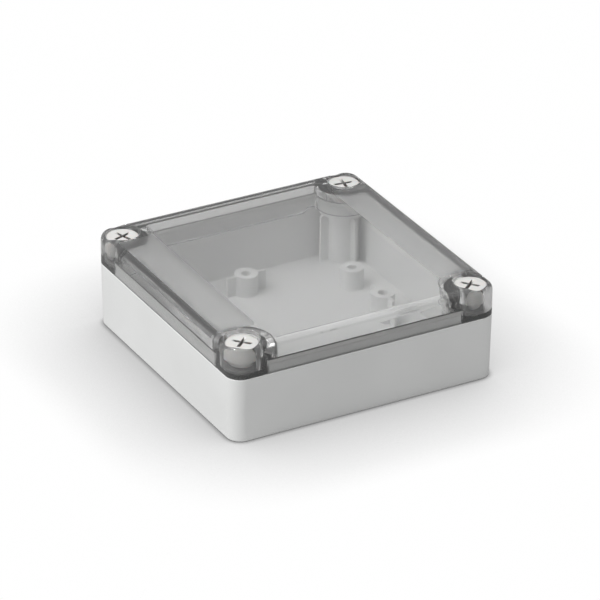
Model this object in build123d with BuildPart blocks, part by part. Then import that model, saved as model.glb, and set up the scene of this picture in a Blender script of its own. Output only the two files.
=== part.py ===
from build123d import *
import math
import os

# Small square electronics enclosure: an opaque moulded base, a clear screwed lid, the cord
# seal between them, and four captive lid screws, each with a sealing washer under its head.
# Millimetres. +Z is up, and the origin is the centre of the base's underside.

os.makedirs("parts", exist_ok=True)

# Outside of the enclosure
length = 100.0
width = 100.0
corner_radius = 5.5
base_height = 23.5
lid_height = 11.5
total_height = base_height + lid_height

# Base moulding
base_wall = 2.6
base_floor = 3.2
base_draft = 1.0
cavity_draft = 0.5
base_foot_radius = 0.8
rim_edge_radius = 0.5
shelf_thickness = 2.0

# Raised lip on the base rim and the groove of the lid that takes it
lip_height = 3.2
lip_thickness = 1.2
lip_chamfer = 0.3
lip_clearance = 0.2
groove_depth = 4.5
lip_outer_inset = base_wall - lip_thickness
groove_outer_inset = lip_outer_inset - lip_clearance
groove_inner_inset = base_wall + lip_clearance

# Cord seal in the head of the groove
seal_side_gap = 0.05
seal_height = groove_depth - lip_height

# Lid moulding
lid_thickness = 3.0
lid_edge_radius = 3.0
lid_inner_radius = 0.6
well_mouth_radius = 0.25
skirt_thickness = 1.3
skirt_inset = groove_inner_inset + skirt_thickness
tongue_depth = 1.7
tongue_half_length = 28.6
tongue_end_slope = 2.5

# Lid screws and the posts that take them
screw_edge_distance = 7.0
screw_spacing_x = length - 2 * screw_edge_distance
screw_spacing_y = width - 2 * screw_edge_distance
screw_zone_radius = 6.1
seal_bend_radius = 1.2
post_radius = 6.1
post_bore_depth = 14.0
thread_clearance = 0.08
fin_thickness = 1.0
fin_reach = 3.1
fin_slope = 1.2

# Screw and washer
head_radius = 5.6
head_depth_below_top = 1.5
head_edge_radius = 0.5
collar_radius = 3.65
collar_height = 2.4
shank_radius = 2.0
shank_below_lid = 12.5
shank_tip_chamfer = 0.6
recess_span = 7.0
recess_width = 1.2
recess_depth = 1.8
recess_floor_span = 1.8
recess_angles = {"front_left": 42.0, "front_right": 39.0, "back_left": 18.0, "back_right": -8.0}
lid_screw_floor = 1.5
lid_hole_clearance = 0.3
head_clearance = 0.35
washer_thickness = 1.2
washer_edge_radius = 0.35
washer_side_gap = 0.15
washer_bore_gap = 0.05
head_height = lid_height - lid_screw_floor - washer_thickness - head_depth_below_top
well_radius = head_radius + head_clearance

# Circuit board bosses on the floor
boss_radius = 4.15
boss_height = 7.5
boss_hole_radius = 1.7
boss_hole_depth = 6.5
boss_mouth_radius = 1.9
boss_mouth_angle = 120.0
boss_fin_reach = 3.3
boss_fin_drop = 0.2
boss_half_span = 34.5
boss_half_pitch = 21.5
boss_side_places_x = [(-boss_half_span, 0), (boss_half_span, 0)]
boss_side_places_y = [(0, -boss_half_span), (0, boss_half_span)]
boss_corner_places = [
    (side_x * boss_half_span, side_y * boss_half_pitch) for side_x in (-1, 1) for side_y in (-1, 1)
]
boss_places = boss_side_places_x + boss_side_places_y + boss_corner_places


def outline(inset):
    """Plan outline of the enclosure, moved inwards by inset."""
    least_radius = 0.5
    with BuildSketch(mode=Mode.PRIVATE) as plan:
        RectangleRounded(
            length - 2 * inset,
            width - 2 * inset,
            max(corner_radius - inset, least_radius),
        )
    return plan.sketch


def sealed_area(inset):
    """Plan of the sealed inside: its edge passes each screw on the inner side, in an arc."""
    with BuildSketch(mode=Mode.PRIVATE) as plan:
        Rectangle(length - 2 * inset, width - 2 * inset)
        with GridLocations(screw_spacing_x, screw_spacing_y, 2, 2):
            Circle(screw_zone_radius + inset, mode=Mode.SUBTRACT)
        with GridLocations(length, width, 2, 2):
            Rectangle(2 * screw_edge_distance, 2 * screw_edge_distance, mode=Mode.SUBTRACT)
        fillet(plan.vertices(), seal_bend_radius)
    return plan.sketch


def screw_fins(spacing, wall_face):
    """Upright profiles of one row's fins: from the wall through each post and past it."""
    inner_end = spacing / 2 - post_radius - fin_reach
    top = base_height - shelf_thickness
    with BuildSketch(mode=Mode.PRIVATE) as profile:
        with BuildLine():
            Polyline(
                (wall_face, base_floor),
                (inner_end, base_floor),
                (inner_end, top - fin_slope),
                (inner_end + fin_slope, top),
                (wall_face, top),
                close=True,
            )
        make_face()
        mirror(about=Plane.YZ)
    return profile.sketch


def tongue_profile():
    """Upright profile of one side's tongue, with its slanted ends."""
    top = base_height + lip_clearance
    bottom = base_height - tongue_depth
    with BuildSketch(mode=Mode.PRIVATE) as profile:
        with BuildLine():
            Polyline(
                (-tongue_half_length - tongue_end_slope, top),
                (-tongue_half_length, bottom),
                (tongue_half_length, bottom),
                (tongue_half_length + tongue_end_slope, top),
                close=True,
            )
        make_face()
    return profile.sketch


# Base: tray with drafted walls, rim lip, screw posts, shelves and board bosses
with BuildPart() as base:
    with BuildSketch(Plane.XY.offset(base_height)):
        add(outline(0))
    extrude(amount=-base_height, taper=base_draft)
    fillet(base.edges().group_by(Axis.Z)[0], base_foot_radius)
    fillet(base.edges().group_by(Axis.Z)[-1], rim_edge_radius)

    with BuildSketch(Plane.XY.offset(base_height - shelf_thickness)):
        add(outline(base_wall))
    extrude(
        amount=-(base_height - shelf_thickness - base_floor),
        taper=cavity_draft,
        mode=Mode.SUBTRACT,
    )
    with BuildSketch(Plane.XY.offset(base_height)):
        add(sealed_area(base_wall))
    extrude(amount=-shelf_thickness, mode=Mode.SUBTRACT)

    with BuildSketch(Plane.XY.offset(base_height)):
        add(sealed_area(lip_outer_inset))
        add(sealed_area(base_wall), mode=Mode.SUBTRACT)
    extrude(amount=lip_height)
    chamfer(base.edges().group_by(Axis.Z)[-1], lip_chamfer)

    with BuildSketch(Plane.XY.offset(base_floor)):
        with GridLocations(screw_spacing_x, screw_spacing_y, 2, 2):
            Circle(post_radius)
        add(outline(base_wall / 2), mode=Mode.INTERSECT)
    extrude(amount=base_height - base_floor)
    for side in (-1, 1):
        with BuildSketch(Plane.XZ.offset(side * screw_spacing_y / 2)):
            add(screw_fins(screw_spacing_x, length / 2 - base_wall / 2))
        extrude(amount=fin_thickness / 2, both=True)
        with BuildSketch(Plane.YZ.offset(side * screw_spacing_x / 2)):
            add(screw_fins(screw_spacing_y, width / 2 - base_wall / 2))
        extrude(amount=fin_thickness / 2, both=True)

    with BuildSketch(Plane.XY.offset(base_floor)):
        with Locations(*boss_places):
            Circle(boss_radius)
    extrude(amount=boss_height)
    with BuildSketch(Plane.XY.offset(base_floor)):
        with Locations(*boss_side_places_x):
            Rectangle(fin_thickness, 2 * (boss_radius + boss_fin_reach))
        with Locations(*boss_side_places_y):
            Rectangle(2 * (boss_radius + boss_fin_reach), fin_thickness)
    extrude(amount=boss_height - boss_fin_drop)

    with Locations(*[(x, y, base_floor + boss_height) for x, y in boss_places]):
        CounterSinkHole(
            radius=boss_hole_radius,
            counter_sink_radius=boss_mouth_radius,
            depth=boss_hole_depth,
            counter_sink_angle=boss_mouth_angle,
        )
    with Locations((0, 0, base_height)):
        with GridLocations(screw_spacing_x, screw_spacing_y, 2, 2):
            Hole(radius=shank_radius + thread_clearance, depth=post_bore_depth)

base.part.label = "base"
export_step(base.part, "parts/base.step")


# Lid: clear shell with a thick round block at each screw, the seal groove and four tongues
with BuildPart() as lid:
    with BuildSketch(Plane.XY.offset(base_height)):
        add(outline(0))
    extrude(amount=lid_height)
    fillet(lid.edges().group_by(Axis.Z)[-1], lid_edge_radius)

    with BuildSketch(Plane.XY.offset(base_height)):
        add(sealed_area(skirt_inset))
    extrude(amount=lid_height - lid_thickness, mode=Mode.SUBTRACT)
    cavity_roof = total_height - lid_thickness
    fillet(
        lid.edges().filter_by_position(Axis.Z, cavity_roof - 0.01, cavity_roof + 0.01),
        lid_inner_radius,
    )
    with BuildSketch(Plane.XY.offset(base_height)):
        add(sealed_area(groove_outer_inset))
        add(sealed_area(groove_inner_inset), mode=Mode.SUBTRACT)
    extrude(amount=groove_depth, mode=Mode.SUBTRACT)

    skirt_middle = groove_inner_inset + skirt_thickness / 2
    for side in (-1, 1):
        with BuildSketch(Plane.XZ.offset(side * (width / 2 - skirt_middle))):
            add(tongue_profile())
        extrude(amount=skirt_thickness / 2, both=True)
        with BuildSketch(Plane.YZ.offset(side * (length / 2 - skirt_middle))):
            add(tongue_profile())
        extrude(amount=skirt_thickness / 2, both=True)

    with Locations((0, 0, total_height)):
        with GridLocations(screw_spacing_x, screw_spacing_y, 2, 2):
            CounterBoreHole(
                radius=shank_radius + lid_hole_clearance,
                counter_bore_radius=well_radius,
                counter_bore_depth=lid_height - lid_screw_floor,
            )
    well_walls = lid.faces().filter_by(GeomType.CYLINDER).filter_by(
        lambda wall: math.isclose(wall.radius, well_radius, abs_tol=0.01)
    )
    well_mouths = well_walls.edges().filter_by(
        lambda edge: edge.center().Z > total_height - lid_edge_radius
    )
    fillet(well_mouths, well_mouth_radius)

lid.part.label = "lid"
export_step(lid.part, "parts/lid.step")


# Cord seal: one endless strip in the head of the lid's groove, resting on the lip
with BuildPart() as lid_seal:
    with BuildSketch(Plane.XY.offset(base_height + lip_height)):
        add(sealed_area(groove_outer_inset + seal_side_gap))
        add(sealed_area(groove_inner_inset - seal_side_gap), mode=Mode.SUBTRACT)
    extrude(amount=seal_height)

lid_seal.part.label = "lid_seal"
export_step(lid_seal.part, "parts/lid_seal.step")


# Captive screws and their washers, one of each at every corner
washer_seat = base_height + lid_screw_floor
head_seat = washer_seat + washer_thickness
corners = {
    "front_left": (-1, -1),
    "front_right": (1, -1),
    "back_left": (-1, 1),
    "back_right": (1, 1),
}
for corner, (side_x, side_y) in corners.items():
    axis_x = side_x * screw_spacing_x / 2
    axis_y = side_y * screw_spacing_y / 2

    with BuildPart() as screw:
        with BuildSketch(Plane.XY.offset(head_seat)):
            with Locations((axis_x, axis_y)):
                Circle(collar_radius)
        extrude(amount=collar_height)
        with BuildSketch(Plane.XY.offset(head_seat + collar_height)):
            with Locations((axis_x, axis_y)):
                Circle(head_radius)
        extrude(amount=head_height - collar_height)
        fillet(screw.edges().group_by(Axis.Z)[-1], head_edge_radius)
        for wing_angle in (recess_angles[corner], recess_angles[corner] + 90):
            wing_plane = Plane(
                origin=(axis_x, axis_y, head_seat + head_height),
                x_dir=(math.cos(math.radians(wing_angle)), math.sin(math.radians(wing_angle)), 0),
                z_dir=(math.sin(math.radians(wing_angle)), -math.cos(math.radians(wing_angle)), 0),
            )
            with BuildSketch(wing_plane):
                with BuildLine():
                    Polyline(
                        (-recess_span / 2, 0),
                        (-recess_floor_span / 2, -recess_depth),
                        (recess_floor_span / 2, -recess_depth),
                        (recess_span / 2, 0),
                        close=True,
                    )
                make_face()
            extrude(amount=recess_width / 2, both=True, mode=Mode.SUBTRACT)
        with BuildSketch(Plane.XY.offset(head_seat)):
            with Locations((axis_x, axis_y)):
                Circle(shank_radius)
        extrude(amount=-(head_seat - base_height + shank_below_lid))
        chamfer(screw.edges().group_by(Axis.Z)[0], shank_tip_chamfer)
    screw.part.label = f"screw_{corner}"
    export_step(screw.part, f"parts/screw_{corner}.step")

    with BuildPart() as washer:
        with BuildSketch(Plane.XY.offset(washer_seat)):
            with Locations((axis_x, axis_y)):
                Circle(well_radius - washer_side_gap)
                Circle(shank_radius + washer_bore_gap, mode=Mode.SUBTRACT)
        extrude(amount=washer_thickness)
        fillet(
            washer.edges().filter_by(GeomType.CIRCLE).sort_by(SortBy.RADIUS)[-2:],
            washer_edge_radius,
        )
    washer.part.label = f"washer_{corner}"
    export_step(washer.part, f"parts/washer_{corner}.step")
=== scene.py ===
import math

import bmesh
import bpy
from mathutils import Matrix, Vector


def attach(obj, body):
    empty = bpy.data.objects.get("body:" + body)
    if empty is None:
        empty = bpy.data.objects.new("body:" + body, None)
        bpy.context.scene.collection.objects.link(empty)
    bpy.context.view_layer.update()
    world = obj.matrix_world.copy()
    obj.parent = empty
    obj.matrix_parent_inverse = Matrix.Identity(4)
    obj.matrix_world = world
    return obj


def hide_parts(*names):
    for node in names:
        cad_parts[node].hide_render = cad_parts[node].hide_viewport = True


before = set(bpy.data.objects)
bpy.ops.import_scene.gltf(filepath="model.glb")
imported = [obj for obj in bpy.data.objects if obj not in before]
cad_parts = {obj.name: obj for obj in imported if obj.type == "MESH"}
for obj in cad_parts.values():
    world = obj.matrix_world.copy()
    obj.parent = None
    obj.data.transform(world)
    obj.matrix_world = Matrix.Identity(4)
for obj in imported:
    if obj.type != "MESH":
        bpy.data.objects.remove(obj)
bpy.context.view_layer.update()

MM = 0.001
WELD_DISTANCE = 0.001 * MM
SHARP_EDGE = math.radians(28)

# Sizes shared with the construction, in millimetres
SCREW_HALF_SPACING = 43.0
COLLAR_SEAT = 26.2
NECK_RADIUS = 1.75
NECK_END = 21.4
THREAD_START = 11.6
THREAD_PITCH = 2.0
THREAD_CORE_RADIUS = 1.45
THREAD_CREST_RADIUS = 1.98
THREAD_HALF_HEIGHT = 0.62
SHANK_TIP = 11.0
SHANK_TIP_RADIUS = 0.95
LID_TOP = 35.0
LID_TOP_TOLERANCE = 0.1
TEXTURED_MARGIN_START = 34.6
TEXTURED_MARGIN_HALF_LENGTH = 36.5
CORNER_SIDES = {
    "front_left": (-1, -1),
    "front_right": (1, -1),
    "back_left": (-1, 1),
    "back_right": (1, 1),
}


# Node trees

def node_adder(tree):
    """A function that adds a node to a tree: its sockets come as a dict, its settings by name."""
    def node(kind, sockets=(), **settings):
        made = tree.nodes.new(kind)
        for setting, value in settings.items():
            setattr(made, setting, value)
        for socket, value in dict(sockets).items():
            if isinstance(value, bpy.types.NodeSocket):
                tree.links.new(value, made.inputs[socket])
            else:
                made.inputs[socket].default_value = value
        return made

    return node


def worked_out(node, operation, *values):
    """A Math node fed with sockets or numbers, as its result socket."""
    return node("ShaderNodeMath", dict(enumerate(values)), operation=operation).outputs[0]


# Materials

TEXTURED_MARGIN_ROUGHNESS = 0.45
CLEAR_LID_IOR = 1.585
LAMP_THROUGH_LID = (0.20, 0.20, 0.20, 1)
# Painted shade for the screw recess: the dark colour, and the reach within which the screw's own
# geometry darkens it
PAINTED_RECESS_SHADE = (0.10, 0.098, 0.094, 1)
PAINTED_RECESS_SHADE_REACH = 2.2 * MM


def new_finish(name):
    """A new material, its main shader, and a function that adds a node to its tree."""
    finish = bpy.data.materials.new(name)
    finish.use_nodes = True
    return finish, finish.node_tree.nodes["Principled BSDF"], node_adder(finish.node_tree)


def feed(shader, **sockets):
    """Sets or links sockets of a shader, named with underscores for spaces."""
    for socket, value in sockets.items():
        target = shader.inputs[socket.replace("_", " ")]
        if isinstance(value, bpy.types.NodeSocket):
            shader.id_data.links.new(value, target)
        else:
            target.default_value = value


def object_noise(node, scale, detail=2.0, roughness=0.5):
    """Noise on the piece's own coordinates, as its Fac socket."""
    place = node("ShaderNodeTexCoord").outputs["Object"]
    noise = node(
        "ShaderNodeTexNoise",
        {"Vector": place, "Scale": scale, "Detail": detail, "Roughness": roughness},
    )
    return noise.outputs["Fac"]


def spread(node, fac, low, high, from_low=0.3, from_high=0.7):
    """A noise value stretched to run from low to high."""
    limits = {"From Min": from_low, "From Max": from_high, "To Min": low, "To Max": high}
    return node("ShaderNodeMapRange", {"Value": fac, **limits}).outputs["Result"]


def two_tone(node, fac, first, second):
    """A colour between two near shades."""
    ramp = node("ShaderNodeValToRGB", {"Fac": fac})
    for stop, position, shade in zip(ramp.color_ramp.elements, (0.35, 0.65), (first, second)):
        stop.position = position
        stop.color = (*shade, 1)
    return ramp.outputs["Color"]


def moulded_abs():
    """Light grey ABS: fine spark-eroded grain, a soft sheen that varies a little."""
    finish, shader, node = new_finish("moulded_abs")
    blotches = object_noise(node, scale=28.0)
    grain = object_noise(node, scale=2600.0, detail=3.0, roughness=0.6)
    bump = node("ShaderNodeBump", {"Height": grain, "Strength": 0.22, "Distance": 0.03 * MM})
    feed(
        shader,
        Base_Color=two_tone(node, blotches, (0.585, 0.590, 0.585), (0.615, 0.620, 0.615)),
        Roughness=spread(node, object_noise(node, scale=90.0), 0.40, 0.50),
        Normal=bump.outputs["Normal"],
        Specular_IOR_Level=0.45,
    )
    return finish


def textured_margin(node):
    """1 on the lid's flat top along its left and right margins, between the screw wells, else 0."""
    coordinates = node("ShaderNodeTexCoord").outputs["Object"]
    place = node("ShaderNodeSeparateXYZ", {0: coordinates}).outputs
    across = worked_out(node, "ABSOLUTE", place["X"])
    along = worked_out(node, "ABSOLUTE", place["Y"])
    aside = worked_out(node, "GREATER_THAN", across, TEXTURED_MARGIN_START * MM)
    between = worked_out(node, "LESS_THAN", along, TEXTURED_MARGIN_HALF_LENGTH * MM)
    on_top = worked_out(node, "COMPARE", place["Z"], LID_TOP * MM, LID_TOP_TOLERANCE * MM)
    return worked_out(node, "MULTIPLY", worked_out(node, "MULTIPLY", aside, between), on_top)


def clear_polycarbonate():
    """Clear moulded lid: textured margins, faint flow ripple, haze; lamps shine through it."""
    finish, shader, node = new_finish("clear_polycarbonate")
    tint = object_noise(node, scale=12.0)
    ripple = object_noise(node, scale=45.0, detail=1.0)
    wear = spread(node, object_noise(node, scale=350.0, detail=4.0), 0.015, 0.05)
    bump = node("ShaderNodeBump", {"Height": ripple, "Strength": 0.06, "Distance": 0.05 * MM})
    feed(
        shader,
        Base_Color=two_tone(node, tint, (0.958, 0.958, 0.955), (0.968, 0.968, 0.965)),
        Roughness=worked_out(
            node, "MULTIPLY_ADD", textured_margin(node), TEXTURED_MARGIN_ROUGHNESS, wear
        ),
        Normal=bump.outputs["Normal"],
        IOR=CLEAR_LID_IOR,
        Transmission_Weight=0.95,
    )
    lamp_pass = node("ShaderNodeBsdfTransparent", {"Color": LAMP_THROUGH_LID})
    to_lamp = node("ShaderNodeLightPath").outputs["Is Shadow Ray"]
    blend = node(
        "ShaderNodeMixShader",
        {0: to_lamp, 1: shader.outputs["BSDF"], 2: lamp_pass.outputs["BSDF"]},
    )
    tree = finish.node_tree
    tree.links.new(blend.outputs["Shader"], tree.nodes["Material Output"].inputs["Surface"])
    return finish


def screw_nylon():
    """Off-white glass-filled plastic of the lid screws, with painted shade darkening it down in the
    recess.
    """
    finish, shader, node = new_finish("screw_nylon")
    speckle = object_noise(node, scale=220.0)
    # Painted shade: the screw colour is mixed towards a dark tone where its own recess closes in
    # around it
    around = node(
        "ShaderNodeAmbientOcclusion", {"Distance": PAINTED_RECESS_SHADE_REACH}, samples=8, only_local=True
    )
    openness = spread(node, around.outputs["AO"], 0.0, 1.0, from_low=0.35, from_high=0.85)
    plain = two_tone(node, speckle, (0.54, 0.535, 0.52), (0.58, 0.575, 0.56))
    tone_with_painted_shade = node(
        "ShaderNodeMix", {"Factor": openness, "A": PAINTED_RECESS_SHADE, "B": plain}, data_type="RGBA"
    )
    grain = object_noise(node, scale=3200.0, detail=2.0)
    bump = node("ShaderNodeBump", {"Height": grain, "Strength": 0.12, "Distance": 0.02 * MM})
    feed(
        shader,
        Base_Color=tone_with_painted_shade.outputs["Result"],
        Roughness=spread(node, object_noise(node, scale=500.0), 0.30, 0.42),
        Normal=bump.outputs["Normal"],
        Subsurface_Weight=0.1,
        Subsurface_Scale=0.4 * MM,
    )
    return finish


def rubber(name, first, second, rough_low, rough_high):
    """Matt rubber with a powdery surface."""
    finish, shader, node = new_finish(name)
    dust = object_noise(node, scale=160.0, detail=3.0)
    grain = object_noise(node, scale=1800.0, detail=4.0, roughness=0.7)
    bump = node("ShaderNodeBump", {"Height": grain, "Strength": 0.35, "Distance": 0.04 * MM})
    feed(
        shader,
        Base_Color=two_tone(node, dust, first, second),
        Roughness=spread(node, object_noise(node, scale=260.0), rough_low, rough_high),
        Normal=bump.outputs["Normal"],
        Specular_IOR_Level=0.3,
    )
    return finish


abs_finish = moulded_abs()
lid_finish = clear_polycarbonate()
screw_finish = screw_nylon()
seal_finish = rubber(
    "seal_rubber", (0.56, 0.56, 0.55), (0.61, 0.61, 0.60), rough_low=0.6, rough_high=0.75
)
washer_finish = rubber(
    "washer_rubber", (0.075, 0.075, 0.073), (0.105, 0.105, 0.102), rough_low=0.55, rough_high=0.7
)


# Pieces

def crisp_mesh(shell, name, finish):
    """A mesh from an edited one: curved faces shade smoothly and edges stay crisp."""
    for edge in shell.edges:
        edge.smooth = edge.is_manifold and edge.calc_face_angle(math.pi) < SHARP_EDGE
    for face in shell.faces:
        face.smooth = True
    mesh = bpy.data.meshes.new(name)
    shell.to_mesh(mesh)
    shell.free()
    mesh.materials.append(finish)
    return mesh


def settle(mesh, node_name, body):
    """Puts a finished mesh in the place of a CAD node."""
    piece = bpy.data.objects.new(mesh.name, mesh)
    bpy.context.scene.collection.objects.link(piece)
    even = piece.modifiers.new("even_normals", "WEIGHTED_NORMAL")
    even.keep_sharp = True
    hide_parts(node_name)
    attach(piece, body)


def welded_node(node_name):
    """The CAD piece's loose triangles as one welded mesh, open for editing."""
    shell = bmesh.new()
    shell.from_mesh(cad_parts[node_name].data)
    bmesh.ops.remove_doubles(shell, verts=shell.verts, dist=WELD_DISTANCE)
    return shell


def dress(node_name, finish):
    """A CAD piece whose shape is right, with its finish."""
    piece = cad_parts[node_name]
    piece.data.materials.clear()
    piece.data.materials.append(finish)


SHANK_SIZES = (
    "Axis X",
    "Axis Y",
    "Seat",
    "Neck Radius",
    "Neck End",
    "Thread Start",
    "Pitch",
    "Core Radius",
    "Crest Radius",
    "Half Height",
    "Tip",
    "Tip Radius",
)
SHANK_SIDES = 40
THREAD_STEPS = 48
THREAD_OUTLINE_SIDES = 4


def shank_nodes():
    """Geometry nodes for a screw's threaded shank: core, smooth neck, tapered tip and thread."""
    tree = bpy.data.node_groups.new("screw_shank", "GeometryNodeTree")
    socket_of = {}
    for title in SHANK_SIZES:
        entry = tree.interface.new_socket(title, in_out="INPUT", socket_type="NodeSocketFloat")
        socket_of[title] = entry.identifier
    finish = tree.interface.new_socket("Finish", in_out="INPUT", socket_type="NodeSocketMaterial")
    socket_of["Finish"] = finish.identifier
    tree.interface.new_socket("Geometry", in_out="OUTPUT", socket_type="NodeSocketGeometry")
    size = tree.nodes.new("NodeGroupInput").outputs
    node = node_adder(tree)

    def on_axis(height):
        at = {"X": size["Axis X"], "Y": size["Axis Y"], "Z": height}
        return node("ShaderNodeCombineXYZ", at).outputs[0]

    def moved_up(shape, height):
        place = {"Geometry": shape, "Translation": on_axis(height)}
        return node("GeometryNodeTransform", place).outputs[0]

    def swept(curve, profile):
        ends_closed = {"Curve": curve, "Profile Curve": profile, "Fill Caps": True}
        return node("GeometryNodeCurveToMesh", ends_closed).outputs[0]

    def round_bar(low, high, radius):
        span = node("GeometryNodeCurvePrimitiveLine", {"Start": on_axis(low), "End": on_axis(high)})
        ring = node(
            "GeometryNodeCurvePrimitiveCircle", {"Resolution": SHANK_SIDES, "Radius": radius}
        )
        return swept(span.outputs["Curve"], ring.outputs["Curve"])

    core = round_bar(size["Thread Start"], size["Seat"], size["Core Radius"])
    neck = round_bar(size["Neck End"], size["Seat"], size["Neck Radius"])
    cone = node(
        "GeometryNodeMeshCone",
        {
            "Vertices": SHANK_SIDES,
            "Radius Top": size["Core Radius"],
            "Radius Bottom": size["Tip Radius"],
            "Depth": worked_out(node, "SUBTRACT", size["Thread Start"], size["Tip"]),
        },
    )
    tip = moved_up(cone.outputs["Mesh"], size["Tip"])
    first_turn = worked_out(node, "ADD", size["Thread Start"], size["Half Height"])
    length = worked_out(node, "SUBTRACT", size["Neck End"], first_turn)
    spiral = node(
        "GeometryNodeCurveSpiral",
        {
            "Resolution": THREAD_STEPS,
            "Rotations": worked_out(node, "DIVIDE", length, size["Pitch"]),
            "Start Radius": size["Core Radius"],
            "End Radius": size["Core Radius"],
            "Height": length,
            "Reverse": True,
        },
    )
    upright = node("GeometryNodeSetCurveNormal", {"Curve": spiral.outputs["Curve"]}, mode="Z_UP")
    outline = node(
        "GeometryNodeCurvePrimitiveCircle",
        {"Resolution": THREAD_OUTLINE_SIDES, "Radius": size["Half Height"]},
    )
    depth = worked_out(node, "SUBTRACT", size["Crest Radius"], size["Core Radius"])
    depth_share = worked_out(node, "DIVIDE", depth, size["Half Height"])
    flattened = node("ShaderNodeCombineXYZ", {"X": depth_share, "Y": 1.0, "Z": 1.0})
    profile = node(
        "GeometryNodeTransform",
        {"Geometry": outline.outputs["Curve"], "Scale": flattened.outputs[0]},
    )
    thread = moved_up(swept(upright.outputs[0], profile.outputs[0]), first_turn)
    gathered = node("GeometryNodeJoinGeometry")
    for part in (core, neck, tip, thread):
        tree.links.new(part, gathered.inputs[0])
    solid = node("GeometryNodeRealizeInstances", {"Geometry": gathered.outputs[0]})
    finished = node(
        "GeometryNodeSetMaterial", {"Geometry": solid.outputs[0], "Material": size["Finish"]}
    )
    node("NodeGroupOutput", {0: finished.outputs[0]})
    return tree, socket_of


def threaded_shank(corner, tree, socket_of):
    """One corner's threaded shank as a plain mesh."""
    side_x, side_y = CORNER_SIDES[corner]
    carrier = bpy.data.objects.new("shank_maker", bpy.data.meshes.new("shank_maker"))
    bpy.context.scene.collection.objects.link(carrier)
    maker = carrier.modifiers.new("shank", "NODES")
    maker.node_group = tree
    for title, value in {
        "Axis X": side_x * SCREW_HALF_SPACING * MM,
        "Axis Y": side_y * SCREW_HALF_SPACING * MM,
        "Seat": COLLAR_SEAT * MM,
        "Neck Radius": NECK_RADIUS * MM,
        "Neck End": NECK_END * MM,
        "Thread Start": THREAD_START * MM,
        "Pitch": THREAD_PITCH * MM,
        "Core Radius": THREAD_CORE_RADIUS * MM,
        "Crest Radius": THREAD_CREST_RADIUS * MM,
        "Half Height": THREAD_HALF_HEIGHT * MM,
        "Tip": SHANK_TIP * MM,
        "Tip Radius": SHANK_TIP_RADIUS * MM,
        "Finish": screw_finish,
    }.items():
        maker[socket_of[title]] = value
    evaluated = carrier.evaluated_get(bpy.context.evaluated_depsgraph_get())
    mesh = bpy.data.meshes.new_from_object(evaluated)
    carrier.modifiers.remove(maker)
    bpy.data.objects.remove(carrier)
    return mesh


def lid_screw(corner, tree, socket_of):
    """A lid screw: the head and collar of the CAD piece on a threaded shank."""
    shell = welded_node(f"screw_{corner}")
    bmesh.ops.bisect_plane(
        shell,
        geom=shell.verts[:] + shell.edges[:] + shell.faces[:],
        plane_co=(0, 0, COLLAR_SEAT * MM),
        plane_no=(0, 0, 1),
        clear_inner=True,
    )
    rim = [edge for edge in shell.edges if edge.is_boundary]
    bmesh.ops.holes_fill(shell, edges=rim)
    shank = threaded_shank(corner, tree, socket_of)
    shell.from_mesh(shank)
    bpy.data.meshes.remove(shank)
    mesh = crisp_mesh(shell, f"lid_screw_{corner}", screw_finish)
    settle(mesh, f"screw_{corner}", f"screw_{corner}")


settle(crisp_mesh(welded_node("lid"), "lid_moulding", lid_finish), "lid", "lid")
settle(crisp_mesh(welded_node("base"), "base_moulding", abs_finish), "base", "base")
dress("lid_seal", seal_finish)
shank_tree, shank_sockets = shank_nodes()
for corner in CORNER_SIDES:
    dress(f"washer_{corner}", washer_finish)
    lid_screw(corner, shank_tree, shank_sockets)


# Studio: pale floor, white surround, one soft lamp high on the left and light from all round

FLOOR_REACH = 4.0
FLOOR_COLOUR = (0.57, 0.57, 0.57, 1)
FLOOR_IN_CLEAR_PARTS = 0.43
FLOOR_SHADE_REACH = 0.045
FLOOR_SHADE_CURVE = (
    (0.0, 0.30),
    (0.40, 0.52),
    (0.60, 0.66),
    (0.80, 0.79),
    (0.93, 0.91),
    (0.985, 1.0),
)
FLOOR_CONTACT_REACH = 0.0022
FLOOR_CONTACT_CURVE = ((0.0, 0.35), (0.45, 0.55), (0.92, 1.0))
SURROUND_LIGHT = 0.655
SEEN_BY_CAMERA = 1.0
SKY_IN_CLEAR_PARTS = ((0.0, 0.75), (0.18, 0.42), (0.58, 0.42), (0.74, 1.3))
KEY_IRRADIANCE = 0.89
KEY_DISTANCE = 1.3
KEY_ELEVATION = math.radians(56)
KEY_SIZE = 0.22


def background_level(node, shade, by_lid):
    """How bright the studio looks to the camera, straight on or by way of the clear lid; else 0."""
    path = node("ShaderNodeLightPath").outputs
    mirrored = worked_out(node, "MAXIMUM", path["Is Glossy Ray"], path["Is Transmission Ray"])
    undiffused = worked_out(node, "LESS_THAN", path["Diffuse Depth"], 0.5)
    dimmed = worked_out(
        node, "MULTIPLY", worked_out(node, "MULTIPLY", mirrored, undiffused), by_lid
    )
    straight = worked_out(node, "MULTIPLY", path["Is Camera Ray"], shade)
    return worked_out(node, "MAXIMUM", straight, dimmed)


def stepped_curve(node, socket, steps):
    """A value put through straight lines between steps, as its result socket."""
    made = node("ShaderNodeFloatCurve", {"Value": socket})
    made.mapping.use_clip = False
    points = made.mapping.curves[0].points
    points[0].location = steps[0]
    points[-1].location = steps[-1]
    for step in steps[1:-1]:
        points.new(*step)
    for point in points:
        point.handle_type = "VECTOR"
    made.mapping.extend = "HORIZONTAL"
    made.mapping.update()
    return made.outputs["Value"]


def shade_near_box(node, reach, steps):
    """How light the floor stays near the box, by its openness within reach."""
    openness = node("ShaderNodeAmbientOcclusion", {"Distance": reach}, samples=8)
    return stepped_curve(node, openness.outputs["AO"], steps)


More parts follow.
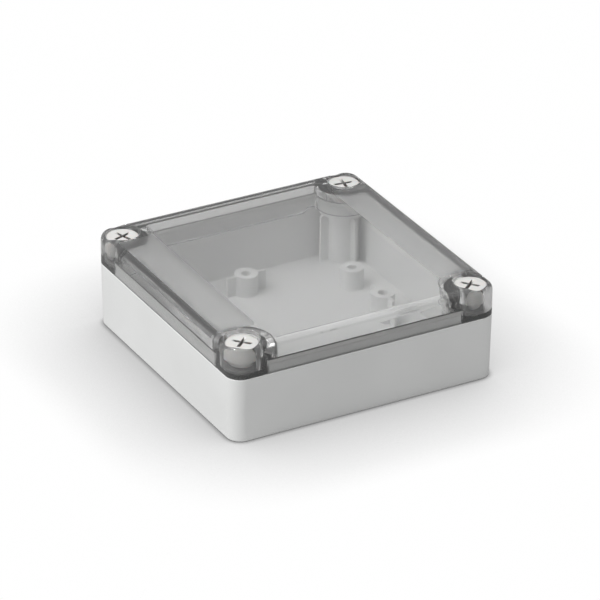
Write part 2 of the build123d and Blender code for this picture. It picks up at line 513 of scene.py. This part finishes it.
def studio_floor():
    """A plain floor that looks white and keeps the box's soft shade, and bounces plain light."""
    mesh = bpy.data.meshes.new("studio_floor")
    corners = ((-1, -1), (1, -1), (1, 1), (-1, 1))
    spots = [(x * FLOOR_REACH, y * FLOOR_REACH, 0) for x, y in corners]
    mesh.from_pydata(spots, [], [(0, 1, 2, 3)])
    floor = bpy.data.objects.new("studio_floor", mesh)
    bpy.context.scene.collection.objects.link(floor)
    paper = bpy.data.materials.new("floor_paper")
    paper.use_nodes = True
    paper.node_tree.nodes.clear()
    node = node_adder(paper.node_tree)
    matt = node("ShaderNodeBsdfDiffuse", {"Color": FLOOR_COLOUR})
    soft_shade = shade_near_box(node, FLOOR_SHADE_REACH, FLOOR_SHADE_CURVE)
    contact_shade = shade_near_box(node, FLOOR_CONTACT_REACH, FLOOR_CONTACT_CURVE)
    shade = worked_out(node, "MULTIPLY", soft_shade, contact_shade)
    level = background_level(node, shade, FLOOR_IN_CLEAR_PARTS)
    glow = node("ShaderNodeEmission", {"Strength": level})
    shown = worked_out(node, "GREATER_THAN", level, 0.0)
    blend = node("ShaderNodeMixShader", {0: shown, 1: matt.outputs[0], 2: glow.outputs[0]})
    node("ShaderNodeOutputMaterial", {"Surface": blend.outputs[0]})
    mesh.materials.append(paper)


def studio_surround():
    """Even light from all round, seen as white by the camera and as a dimmer sky by the lid."""
    world = bpy.data.worlds.new("studio_surround")
    bpy.context.scene.world = world
    world.use_nodes = True
    world.cycles.sampling_method = "NONE"
    tree = world.node_tree
    node = node_adder(tree)
    glow = tree.nodes["Background"]
    glow.inputs["Color"].default_value = (1, 1, 1, 1)
    direction = node("ShaderNodeTexCoord").outputs["Generated"]
    towards = node("ShaderNodeSeparateXYZ", {0: direction})
    sky = stepped_curve(node, towards.outputs["Z"], SKY_IN_CLEAR_PARTS)
    level = background_level(node, SEEN_BY_CAMERA, sky)
    unseen = worked_out(node, "LESS_THAN", level, 0.001)
    lighting = worked_out(node, "MULTIPLY", unseen, SURROUND_LIGHT)
    tree.links.new(worked_out(node, "ADD", level, lighting), glow.inputs["Strength"])


def key_lamp():
    """The soft lamp on the left; its energy gives KEY_IRRADIANCE at the box."""
    lamp = bpy.data.lights.new("key_lamp", "AREA")
    lamp.shape = "DISK"
    lamp.size = KEY_SIZE
    lamp.energy = KEY_IRRADIANCE * math.pi * math.pi * KEY_DISTANCE ** 2
    lamp_object = bpy.data.objects.new("key_lamp", lamp)
    bpy.context.scene.collection.objects.link(lamp_object)
    toward = Vector((-math.cos(KEY_ELEVATION), 0, math.sin(KEY_ELEVATION)))
    lamp_object.location = toward * KEY_DISTANCE
    lamp_object.rotation_mode = "QUATERNION"
    lamp_object.rotation_quaternion = toward.to_track_quat("Z", "Y")


def photograph_camera():
    """The photograph's view: a long lens, low over the front corner."""
    focal_px = 4362.0
    image_px = 600.0
    distance = 1.4821
    turn, rise, roll = math.radians(-28.93), math.radians(27.81), math.radians(0.36)
    off_right, off_up = 0.0020, 0.0161
    level_share = math.cos(rise)
    back = Vector((math.sin(turn) * level_share, -math.cos(turn) * level_share, math.sin(rise)))
    level_right = Vector((math.cos(turn), math.sin(turn), 0))
    level_up = back.cross(level_right)
    right = level_right * math.cos(roll) + level_up * math.sin(roll)
    up = -level_right * math.sin(roll) + level_up * math.cos(roll)
    lens = bpy.data.cameras.new("photograph_camera")
    lens.sensor_width = 36.0
    lens.lens = focal_px / image_px * lens.sensor_width
    lens.clip_start, lens.clip_end = 0.05, 50.0
    camera = bpy.data.objects.new("photograph_camera", lens)
    bpy.context.scene.collection.objects.link(camera)
    place = back * distance + right * off_right + up * off_up
    facing = Matrix((right, up, back)).transposed().to_4x4()
    camera.matrix_world = Matrix.Translation(place) @ facing
    bpy.context.scene.camera = camera


studio_floor()
studio_surround()
key_lamp()
photograph_camera()
light_depth = bpy.context.scene.cycles
light_depth.max_bounces = 32
light_depth.transmission_bounces = 24
light_depth.glossy_bounces = 12
bpy.context.scene.view_settings.view_transform = "Standard"
